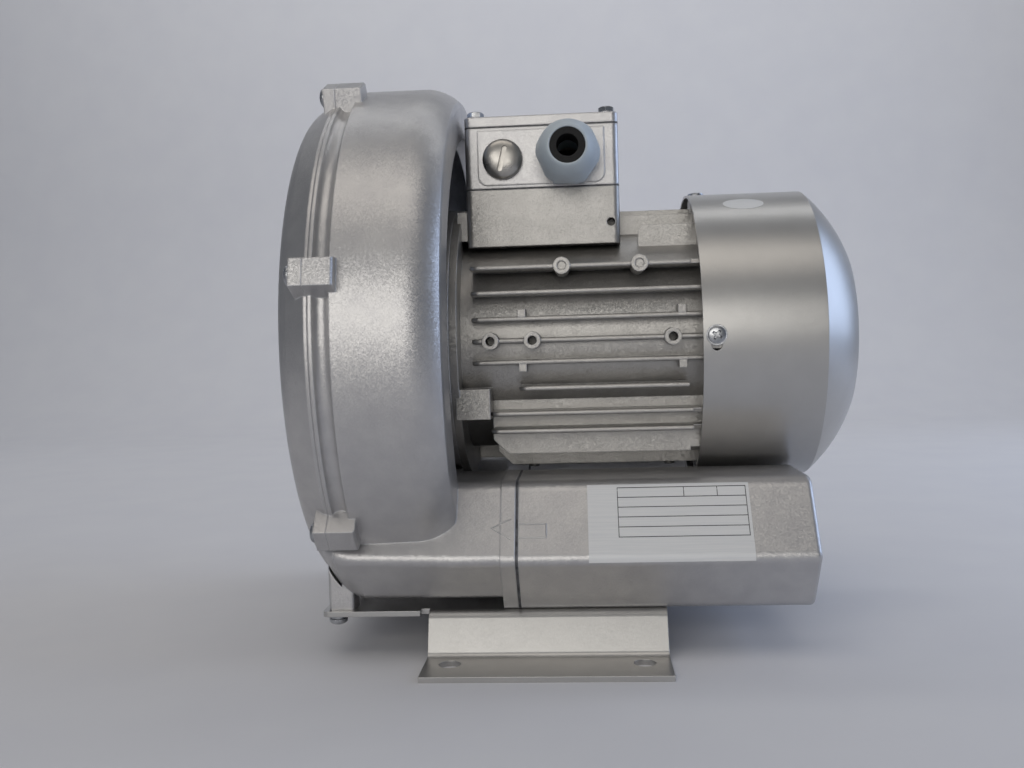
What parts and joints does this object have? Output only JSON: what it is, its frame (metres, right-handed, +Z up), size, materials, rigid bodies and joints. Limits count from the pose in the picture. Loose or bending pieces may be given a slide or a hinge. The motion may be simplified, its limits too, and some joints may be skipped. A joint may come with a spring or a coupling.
{
  "type": "side channel blower",
  "caption": "Side channel blower: round vaned-wheel casing, finned motor with fan cover and terminal box, twin silencers with threaded ports, on a bent sheet foot.",
  "frame": {"origin": "centre of the four foot holes on the underside of the foot flanges", "axes": "+X along the shaft towards the fan cover, where the two ports face; -Y the side of the cable gland; +Z up"},
  "size_m": [0.2551, 0.2638, 0.2679],
  "materials": {
    "cast_paint": "silver-grey metallic paint over a die casting",
    "motor_paint": "silver-grey metallic paint, slightly darker in the fins",
    "sheet_paint": "smooth satin silver paint on sheet steel",
    "zinc_steel": "bright zinc plate",
    "steel": "turned",
    "bearing_steel": "ground",
    "cage_steel": "pressed",
    "raw_aluminium": "as cast, machined faces",
    "lamination": "stacked sheets",
    "copper": "enamelled copper wire, varnished",
    "brass": "turned",
    "nickel": "nickel plated",
    "fan_plastic": "moulded",
    "black_rubber": "matt",
    "foam": "open cell foam",
    "gland_plastic": "moulded polyamide",
    "board_plastic": "moulded"
  },
  "bodies": {
    "blower": {"blower_cover": "cast_paint", "blower_housing": "cast_paint", "inlet_silencer": "cast_paint", "outlet_silencer": "cast_paint", "terminal_box": "cast_paint", "terminal_lid": "cast_paint", "motor_frame": "motor_paint", "end_shield": "motor_paint", "fan_cover": "sheet_paint", "foot_plate": "sheet_paint", "casing_screws": "zinc_steel", "motor_screws": "zinc_steel", "end_shield_screws": "zinc_steel", "fan_cover_screws": "zinc_steel", "fan_cover_washers": "zinc_steel", "terminal_lid_screws": "zinc_steel", "terminal_board_screws": "zinc_steel", "earth_screw": "brass", "silencer_screws": "zinc_steel", "foot_screws": "zinc_steel", "wave_spring": "steel", "front_bearing_outer_ring": "bearing_steel", "rear_bearing_outer_ring": "bearing_steel", "stator_core": "lamination", "stator_windings": "copper", "shaft_seal": "black_rubber", "gland_seal": "black_rubber", "terminal_box_gasket": "black_rubber", "terminal_lid_gasket": "black_rubber", "inlet_gasket": "black_rubber", "outlet_gasket": "black_rubber", "blanking_plug_ring": "black_rubber", "inlet_silencer_liner": "foam", "outlet_silencer_liner": "foam", "gland_body": "gland_plastic", "gland_nut": "gland_plastic", "gland_locknut": "gland_plastic", "blanking_plug": "nickel", "terminal_board": "board_plastic", "terminal_studs": "brass", "terminal_links": "brass", "terminal_nuts": "brass"},
    "rotor": {"shaft": "steel", "impeller": "raw_aluminium", "impeller_key": "steel", "impeller_washer": "zinc_steel", "impeller_screw": "zinc_steel", "rotor_core": "lamination", "rotor_cage": "raw_aluminium", "front_bearing_inner_ring": "bearing_steel", "rear_bearing_inner_ring": "bearing_steel", "cooling_fan": "fan_plastic", "fan_clip": "steel"},
    "front_ball_set": {"front_bearing_cage": "cage_steel", "front_bearing_balls": "bearing_steel"},
    "rear_ball_set": {"rear_bearing_cage": "cage_steel", "rear_bearing_balls": "bearing_steel"}
  },
  "joints": [
    {"name": "rotor_spin", "type": "hinge", "parent": "blower", "child": "rotor", "pos_m": [0, 0, 0.14], "axis": [1, 0, 0], "continuous": true},
    {"name": "front_balls_spin", "type": "hinge", "parent": "blower", "child": "front_ball_set", "pos_m": [0, 0, 0.14], "axis": [1, 0, 0], "continuous": true},
    {"name": "rear_balls_spin", "type": "hinge", "parent": "blower", "child": "rear_ball_set", "pos_m": [0, 0, 0.14], "axis": [1, 0, 0], "continuous": true}
  ],
  "couplings": [
    {"joint": "front_balls_spin", "follows": "rotor_spin", "ratio": 0.397},
    {"joint": "rear_balls_spin", "follows": "rotor_spin", "ratio": 0.382}
  ]
}
